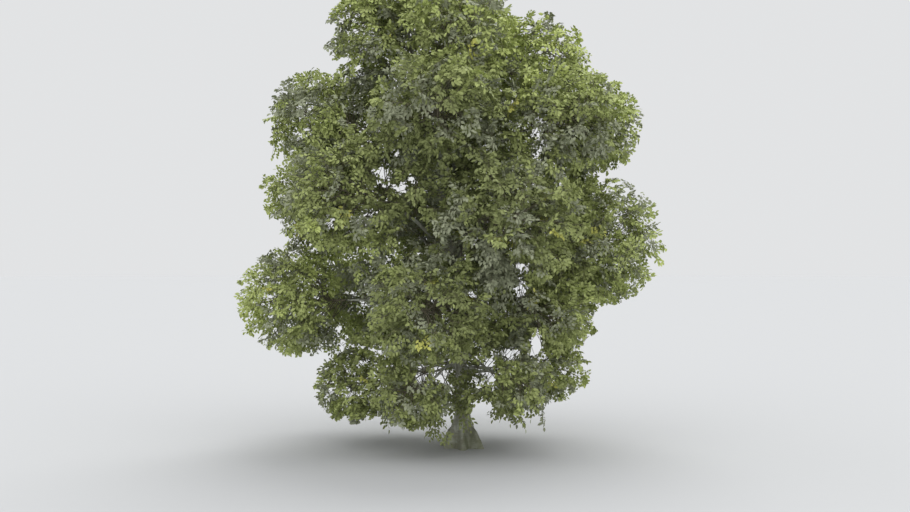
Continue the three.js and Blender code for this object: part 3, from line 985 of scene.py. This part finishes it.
# %% Forms
FORMS = 8
SIDE_SHOOTS, SHOOT_LEAVES, AXIS_LEAVES = 5, 4, 6
FIRST_SHOOT, SHOOT_SPAN, SHOOT_SHIFT = 0.08, 0.66, 0.25  # where side shoots leave the axis
SHOOT_TURN = (40, 58)  # degrees from the axis
SHOOT_LENGTH = 0.5  # of a side shoot at the root of the spray
SHOOT_SHORTENING = 0.5  # how much shorter one at the tip is, as a share
SHOOT_LENGTHS = (0.85, 1.1)  # shares of that length that shoots have
FIRST_LEAF = 0.2  # where the axis's own leaves begin
SHOOT_LEAF_TURN, AXIS_LEAF_TURN = math.radians(46), math.radians(48)
SHOOT_LEAF_SIZES, AXIS_LEAF_SIZES = (0.8, 1.1), (0.85, 1.15)
SAG = 0.16  # of a spray of unit length


def leaf_row(count, leaf_turn):
    """Shares along a shoot and turns of its leaves: left and right, and straight on at the tip."""
    turns = [leaf_turn * (1 if i % 2 else -1) for i in range(count - 1)]
    return [((i + 1) / count, turn) for i, turn in enumerate([*turns, 0])]


def spray_form(chance):
    """Each leaf's root, heading and size, and each side shoot's two ends, in the plane of the spray."""
    leaves, shoots = [], []
    for j in range(SIDE_SHOOTS):
        side = 1 if j % 2 else -1
        shifted = j + chance.uniform(-SHOOT_SHIFT, SHOOT_SHIFT)
        start = FIRST_SHOOT + SHOOT_SPAN * shifted / SIDE_SHOOTS
        heading = side * math.radians(chance.uniform(*SHOOT_TURN))
        length = SHOOT_LENGTH * (1 - SHOOT_SHORTENING * start) * chance.uniform(*SHOOT_LENGTHS)
        reach = length * np.array([math.cos(heading), math.sin(heading)])
        shoots.append((start, 0, start + reach[0], reach[1]))
        for share, turn in leaf_row(SHOOT_LEAVES, SHOOT_LEAF_TURN):
            size = chance.uniform(*SHOOT_LEAF_SIZES)
            leaves.append((start + reach[0] * share, reach[1] * share, heading + turn, size))
    for share, turn in leaf_row(AXIS_LEAVES, AXIS_LEAF_TURN):
        size = chance.uniform(*AXIS_LEAF_SIZES)
        leaves.append((FIRST_LEAF + (1 - FIRST_LEAF) * share, 0, turn, size))
    return np.array(leaves), np.array(shoots)


class SprayPlane:
    """Turns the forms dealt to some sprays into places."""

    def __init__(self, sprays, chance):
        count = len(sprays["lengths"])
        self.sprays = sprays
        self.dealt = chance.integers(0, FORMS, count)
        self.mirror = chance.choice([-1, 1], (count, 1))
        self.way = sprays["ways"][:, None]
        self.facing = sprays["facings"][:, None]
        self.side = np.cross(self.facing, self.way)

    def place(self, along, across):
        """Places in the sagging plane of each spray."""
        sag = SAG * (along**2 + across**2)
        shares = along[..., None] * self.way + across[..., None] * self.side - sag[..., None] * self.facing
        return self.sprays["roots"][:, None] + self.sprays["lengths"][:, None, None] * shares


form_chance = np.random.default_rng(SEED)
made_forms = [spray_form(form_chance) for _ in range(FORMS)]
form_leaves = np.array([leaves for leaves, _ in made_forms])
form_shoots = np.array([shoots for _, shoots in made_forms])
print("forms:", FORMS, "with", form_leaves.shape[1], "leaves and", SIDE_SHOOTS, "side shoots each")

# %% [markdown]
# ## Leaves
#
# A beech leaf is an oval with a drawn-out tip, folded a little along its midrib: two faces with four
# corners each have that outline. Real leaves are about 10 cm long. These are larger, because the tree
# has fewer of them. Each spray is dealt one of five plain tints, steps of one green from dark to light,
# which carry painted light and painted shade: light where the spray stands out from its mass and from
# the crown, as painted rim light, dark in front and within, as painted shade, and lighter or darker in
# three clumps of painted light and painted shade. Branches and sprays also differ in tone at random.
# Some branches are grey-green, and a few sprays yellow.

# %% Leaf tints
# The first five tints are steps of one green, darker to lighter, that carry painted shade and painted
# light; grey and gold are leaf colours.
TINTS = {
    "leaf_shade": plain(128, 136, 86),
    "leaf_olive": plain(148, 157, 98),
    "leaf_green": plain(164, 174, 109),
    "leaf_lighter": plain(171, 182, 112),
    "leaf_light": plain(181, 192, 115),
    "leaf_grey": plain(148, 153, 126),
    "leaf_gold": plain(186, 187, 99),
}
LIGHTEST, GREY, GOLD = 4, 5, 6  # places in that list
TINT_STEPS = (0.2, 0.47, 0.74, 0.92)  # shares of the sprays up to each of the first four tints
LEAF_ROUGHNESS, LEAF_GLOSS = 0.58, 0.3


def one_colour(name, colour, roughness, gloss):
    """A material with the same colour all over."""
    material, wire, shader = new_material(name)
    wire.fill(shader, {"Base Color": colour, "Roughness": roughness, "Specular IOR Level": gloss})
    return material


leaf_materials = [one_colour(name, tint, LEAF_ROUGHNESS, LEAF_GLOSS) for name, tint in TINTS.items()]
print("tints:", ", ".join(TINTS))

# %% How light each spray is: painted light and painted shade, with random tone
# Weights of the painted light at the rim of each mass and at the edge of the crown, and of the painted
# shade on the front.
RIM_LIGHT_WEIGHT, CROWN_EDGE_LIGHT_WEIGHT, FRONT_SHADE_WEIGHT = 0.7, 1.6, 0.3
INNER_RIM_LIGHT = 0.45  # what sprays on the limbs count as, where others count how far out they are
CROWN_MIDDLE = (-0.5, 8.6)  # across and up
CROWN_WIDTH, HALF_DEPTH = 16, 6
LOW_WEIGHT = 0.45  # how much height counts below the middle
# Clumps of painted light and painted shade: across, up, radius, and how much lighter they are. The dark
# one, painted shade, is only in front.
SUNLIT = (2.2, 14.4, 2.4, 0.45)
LEFT_LIGHT = (-4.3, 6.2, 1.9, 0.6)
FRONT_SHADE = (-0.3, 10.0, 2.0, -0.45)


def lightness(k, sprays):
    """How light each spray of mass k is, as painted light and shade: more at the rim of its mass and of
    the crown, less in front, more or less in the clumps, plus random tone.
    """
    ends = sprays["roots"] + sprays["ways"] * sprays["lengths"][:, None]
    # Painted rim light: lighter towards the skin of the mass, and a middling share for sprays on the
    # limbs.
    rim = np.sqrt(np.clip(1 + powers(ends)[:, k] / mass_radii[k] ** 2, 0, 1))
    rim = np.where(sprays["inner"], INNER_RIM_LIGHT, rim)
    # Painted light towards the edge of the crown, more above its middle, and painted shade towards the
    # front.
    across, upward = ends[:, 0] - CROWN_MIDDLE[0], ends[:, 2] - CROWN_MIDDLE[1]
    from_middle = np.hypot(across, np.where(upward > 0, 1.0, LOW_WEIGHT) * upward) / CROWN_WIDTH
    frontness = np.clip(-ends[:, 1] / HALF_DEPTH, -1, 1)

    def within(across, up, radius, lighter):
        return lighter * np.exp(-((ends[:, 0] - across) ** 2 + (ends[:, 2] - up) ** 2) / radius**2)

    # Two clumps of painted light, and one of painted shade on the front.
    clumps = within(*SUNLIT) + within(*LEFT_LIGHT) + within(*FRONT_SHADE) * (frontness > 0)
    overall = RIM_LIGHT_WEIGHT * rim + CROWN_EDGE_LIGHT_WEIGHT * from_middle - FRONT_SHADE_WEIGHT * frontness
    return overall + clumps + sprays["tone"]


all_lightness = [lightness(k, sprays) for k, (*_, sprays) in enumerate(growth)]
tint_limits = np.quantile(np.concatenate(all_lightness), TINT_STEPS)
print("tints change at a lightness of", tint_limits.round(2).tolist())

# %% Leaves of one mass
LEAF_LENGTH = 0.17
LEAF_SIZES = (0.85, 1.12)  # shares of it that leaves draw
LEAF_EDGE = [(0.3, 0.26, 0.05), (0.68, 0.23, 0.02)]  # along, aside and up, in leaf lengths
OTHER_EDGE = [(along, -aside, up) for along, aside, up in reversed(LEAF_EDGE)]
LEAF_POINTS = np.array([(0, 0, 0), *LEAF_EDGE, (1, 0, -0.09), *OTHER_EDGE])
LEAF_TIP = 3  # the tip's place in that list
LEAF_FACES = np.array([(0, 3, 2, 1), (0, 5, 4, 3)])
LEAF_PITCH = (0.35, 0.36)  # downwards from the spray, mean and spread in radians
LEAF_ROLL = 0.55
GREY_PATCH = 0.8  # share of a grey branch's sprays that are grey
GOLD_SHARE = 0.008  # of all sprays
STRAY_SHARE = 0.16  # of the leaves, which may be one tint off their spray's
FEWEST_LEAVES = 5  # a spray that would keep fewer is left out


def leaves_of(k, plane, chance):
    """The corners of the leaves on each spray of mass k, their tints, and which are kept."""
    sprays = plane.sprays
    along, across, heading, size = np.moveaxis(form_leaves[plane.dealt], 2, 0)
    across, heading = across * plane.mirror, heading * plane.mirror
    roots = plane.place(along, across)
    shape = heading.shape

    ahead = np.cos(heading)[..., None] * plane.way + np.sin(heading)[..., None] * plane.side
    pitch = chance.normal(*LEAF_PITCH, shape)[..., None]
    blade = np.cos(pitch) * ahead - np.sin(pitch) * plane.facing
    top = np.cos(pitch) * plane.facing + np.sin(pitch) * ahead
    roll = chance.normal(0, LEAF_ROLL, shape)[..., None]
    rib = np.cross(top, blade)
    top, rib = np.cos(roll) * top + np.sin(roll) * rib, np.cos(roll) * rib - np.sin(roll) * top
    scale = LEAF_LENGTH * size * chance.uniform(*LEAF_SIZES, shape)
    axes = np.stack([blade, rib, top], axis=2) * scale[..., None, None]
    corners = roots[:, :, None] + np.einsum("pi,slix->slpx", LEAF_POINTS, axes)

    # The painted light and shade of each spray, with its random tone, picks one of the five steps.
    tint = np.searchsorted(tint_limits, all_lightness[k])
    draw = chance.uniform(0, 1, shape[0])
    tint = np.where(draw > 1 - GOLD_SHARE, GOLD, tint)
    tint = np.where(sprays["grey"] & (draw < GREY_PATCH), GREY, tint)
    tints = np.repeat(tint[:, None], shape[1], axis=1)
    stray = (chance.uniform(0, 1, shape) < STRAY_SHARE) & (tints <= LIGHTEST)
    tints = np.where(stray, np.clip(tints + chance.integers(-1, 2, shape), 0, LIGHTEST), tints)

    kept = in_reach(corners[:, :, LEAF_TIP].reshape(-1, 3), sprays, shape[1]).reshape(shape)
    kept &= kept.sum(axis=1, keepdims=True) >= FEWEST_LEAVES
    return corners, tints, kept


print("a leaf:", len(LEAF_POINTS), "corners,", len(LEAF_FACES), "faces,", LEAF_LENGTH, "m long")

# %% [markdown]
# ## Twigs
#
# Stems and branches are slim tubes, and the side shoots of a spray are three-sided cones that run out
# to a point, so they cost few triangles. They lie in the same sagging planes as the leaves. A branch
# ends at the last of its sprays that has leaves, and a shoot at its last leaf, so nothing bare sticks
# out of the crown.

# %% Tubes and cones


def rings_round(ways, sides):
    """Directions to the corners of rings that stand square to each of these."""
    first, second = cross_axes(ways)
    turns = (math.tau * np.arange(sides) / sides)[:, None]
    return np.cos(turns) * first[..., None, :] + np.sin(turns) * second[..., None, :]


def tubes(points, taper, sides):
    """Tubes along rows of points, as corners and faces with four corners."""
    count, steps = points.shape[:2]
    rings = rings_round(unit(np.gradient(points, axis=1)), sides)
    corners = points[:, :, None] + np.linspace(*taper, steps)[:, None, None] * rings
    index = np.arange(count * steps * sides).reshape(count, steps, sides)
    ahead = np.roll(index, -1, axis=2)
    faces = np.stack([index[:, :-1], index[:, 1:], ahead[:, 1:], ahead[:, :-1]], axis=-1)
    return corners.reshape(-1, 3), faces.reshape(-1, 4)


def cones(starts, ends, radius):
    """Three-sided cones, as corners and faces with three corners."""
    rings = rings_round(unit(ends - starts), 3)
    corners = np.concatenate([starts[:, None] + radius * rings, ends[:, None]], axis=1)
    faces = np.array([(0, 3, 1), (1, 3, 2), (2, 3, 0)]) + 4 * np.arange(len(starts))[:, None, None]
    return corners.reshape(-1, 3), faces.reshape(-1, 3)


print("a cone has", len(cones(np.zeros((1, 3)), UP[None], 1)[1]), "faces")

# %% Twigs of one mass
STEM_TAPER, STEM_SIDES, STEM_STEPS = (0.04, 0.014), 8, 5  # radii, and points along it
BRANCH_TAPER, BRANCH_SIDES, BRANCH_STEPS = (0.017, 0.006), 4, 5
AXIS_TAPER, AXIS_SIDES, AXIS_STEPS = (0.006, 0.002), 3, 3
SHOOT_RADIUS = 0.0028


def shoots_of(plane, kept):
    """The axis and side shoots of each spray, only as long as the leaves that are kept need."""
    on_shoots = kept[:, : SIDE_SHOOTS * SHOOT_LEAVES].reshape(-1, SIDE_SHOOTS, SHOOT_LEAVES)
    shares = (on_shoots * np.arange(1, SHOOT_LEAVES + 1)).max(axis=2) / SHOOT_LEAVES
    grown = shares > 0
    shoots = form_shoots[plane.dealt]
    starts, ends = shoots[..., :2], shoots[..., 2:]
    ends = starts + (ends - starts) * shares[..., None]

    def placed(spots):
        return plane.place(spots[..., 0], spots[..., 1] * plane.mirror)[grown]

    leaf_spots = form_leaves[plane.dealt][:, -AXIS_LEAVES:, 0] * kept[:, -AXIS_LEAVES:]
    reach = np.maximum(leaf_spots.max(axis=1), (shoots[..., 0] * grown).max(axis=1))
    along = reach[:, None] * np.linspace(0, 1, AXIS_STEPS)
    axes = plane.place(along, np.zeros(along.shape))[reach > 0]
    return [tubes(axes, AXIS_TAPER, AXIS_SIDES), cones(placed(starts), placed(ends), SHOOT_RADIUS)]


def twigs_of(stem_ends, branches, plane, kept):
    """All wood of a mass, as parts of corners and faces. A branch ends at its last leafy spray."""
    stem = np.linspace(*stem_ends, STEM_STEPS)[None]
    leafy = kept.any(axis=1)
    reach = np.zeros(len(branches["lengths"]))
    np.maximum.at(reach, plane.sprays["owner"][leafy], plane.sprays["share"][leafy])
    grown = np.flatnonzero(reach > 0)
    shares = reach[grown, None] * np.linspace(0, 1, BRANCH_STEPS)
    spots, _ = along_branch(branches, np.repeat(grown, BRANCH_STEPS), shares.ravel())
    return [
        tubes(stem, STEM_TAPER, STEM_SIDES),
        tubes(spots.reshape(-1, BRANCH_STEPS, 3), BRANCH_TAPER, BRANCH_SIDES),
        *shoots_of(plane, kept),
    ]


print("branches thin from", BRANCH_TAPER[0], "to", BRANCH_TAPER[1], "m radius")

# %% [markdown]
# ## Pieces of foliage
#
# Instances of a few sprays would be light, but they are lost when a model is exported, so each mesh is
# filled straight from arrays: all corners, then all faces by the numbers of their corners. The masses
# of a tier are joined by side, left and right, leaves apart from twigs, so that every piece stays small
# enough to handle. The leaves stand for the frame's masses, which are hidden.

# %% Fill the meshes
TWIG_BROWN = plain(112, 106, 88)
TWIG_ROUGHNESS, TWIG_GLOSS = 0.8, 0.5
twig_bark = one_colour("beech_twig_bark", TWIG_BROWN, TWIG_ROUGHNESS, TWIG_GLOSS)


def fill_mesh(name, parts, materials, tints=None):
    """A piece from parts of corners and faces, each part with faces of one size."""
    mesh = bpy.data.meshes.new(name)
    offsets = np.cumsum([0] + [len(corners) for corners, _ in parts])
    mesh.vertices.add(offsets[-1])
    all_corners = np.concatenate([corners for corners, _ in parts])
    mesh.vertices.foreach_set("co", all_corners.astype(np.float32).ravel())
    loops = np.concatenate([(faces + offset).ravel() for (_, faces), offset in zip(parts, offsets)])
    sizes = np.concatenate([np.full(len(faces), faces.shape[1]) for _, faces in parts])
    mesh.loops.add(len(loops))
    mesh.loops.foreach_set("vertex_index", loops.astype(np.int32))
    mesh.polygons.add(len(sizes))
    mesh.polygons.foreach_set("loop_start", (np.cumsum(sizes) - sizes).astype(np.int32))
    for material in materials:
        mesh.materials.append(material)
    if tints is not None:
        mesh.polygons.foreach_set("material_index", tints.astype(np.int32))
    mesh.update(calc_edges=True)
    piece = bpy.data.objects.new(name, mesh)
    bpy.context.scene.collection.objects.link(piece)
    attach(piece, "root")
    return piece


groups = {}
for k, mass in enumerate(masses):
    side = "" if mass["tier"] == "top" else "_left" if mass["centre"][0] < 0 else "_right"
    groups.setdefault(mass["tier"] + side, []).append(k)

total = 0
for group, members in groups.items():
    corners, tints, wood = [], [], []
    for k in members:
        stem_ends, branches, sprays = growth[k]
        chance = np.random.default_rng([SEED, k])
        plane = SprayPlane(sprays, chance)
        leaf_corners, leaf_tints, kept = leaves_of(k, plane, chance)
        corners.append(leaf_corners[kept])
        tints.append(leaf_tints[kept])
        wood += twigs_of(stem_ends, branches, plane, kept)
    corners = np.concatenate(corners)
    first_corners = len(LEAF_POINTS) * np.arange(len(corners))[:, None, None]
    leaf_parts = [(corners.reshape(-1, 3), (LEAF_FACES + first_corners).reshape(-1, 4))]
    face_tints = np.repeat(np.concatenate(tints), len(LEAF_FACES))
    leaves = fill_mesh(f"beech_leaves_{group}", leaf_parts, leaf_materials, face_tints)
    twigs = fill_mesh(f"beech_twigs_{group}", wood, [twig_bark])
    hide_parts(*(f"foliage_{masses[k]['name']}" for k in members))
    counts = triangles(leaves), triangles(twigs)
    total += sum(counts)
    print(group, "-", len(corners), "leaves;", counts[0], "+", counts[1], "triangles")
print("foliage:", total, "triangles")

# %% [markdown]
# ## Floor, light and camera
#
# The tree stands on a plain pale floor. A wide soft light comes from above and behind, so that the rim
# of the crown is lighter than the side towards the viewer, and a slightly weaker one fills in from the
# front. Both are lamps that shine evenly over the whole floor, whose tone is chosen so that it runs on
# into the backdrop. The camera stands at the photograph's viewing point and looks level.

# %% Floor
FLOOR_GREY = plain(192, 193, 194)
FLOOR_SIDES, FLOOR_RADIUS = 96, 400

bpy.ops.object.select_all(action="DESELECT")
bpy.ops.mesh.primitive_circle_add(vertices=FLOOR_SIDES, radius=FLOOR_RADIUS, fill_type="NGON")
floor = bpy.context.active_object
floor.name = "floor"
floor.data.materials.append(one_colour("pale_floor", FLOOR_GREY, roughness=1, gloss=0))
print("floor:", FLOOR_RADIUS, "m all round")

# %% Light and camera
BACKDROP = (0.8, 0.81, 0.82, 1)
BACKDROP_STRENGTH = 0.95
LENS, SENSOR = 50, 36  # in millimetres
FARTHEST = 1000

world = bpy.data.worlds.new("studio")
bpy.context.scene.world = world
world.use_nodes = True
background = world.node_tree.nodes["Background"]
Wire(world.node_tree).fill(background, {"Color": BACKDROP, "Strength": BACKDROP_STRENGTH})


def soft_light(name, bearing, height, softness, strength):
    """A lamp from this bearing and height in degrees: 0 behind the viewer, 180 behind the tree."""
    bpy.ops.object.light_add(type="SUN")
    light = bpy.context.active_object
    light.name = name
    light.rotation_euler = (math.radians(90 - height), 0, math.radians(bearing))
    light.data.angle = math.radians(softness)
    light.data.energy = strength


soft_light("key", bearing=165, height=55, softness=50, strength=1.5)
soft_light("fill", bearing=5, height=40, softness=90, strength=1.36)

bpy.ops.object.camera_add(location=EYE, rotation=(math.pi / 2, 0, 0))
camera = bpy.context.active_object
camera.data.lens = LENS
camera.data.sensor_width = SENSOR
camera.data.clip_end = FARTHEST
bpy.context.scene.camera = camera
bpy.context.scene.view_settings.view_transform = "Standard"
print("camera at", [round(x, 2) for x in camera.location])
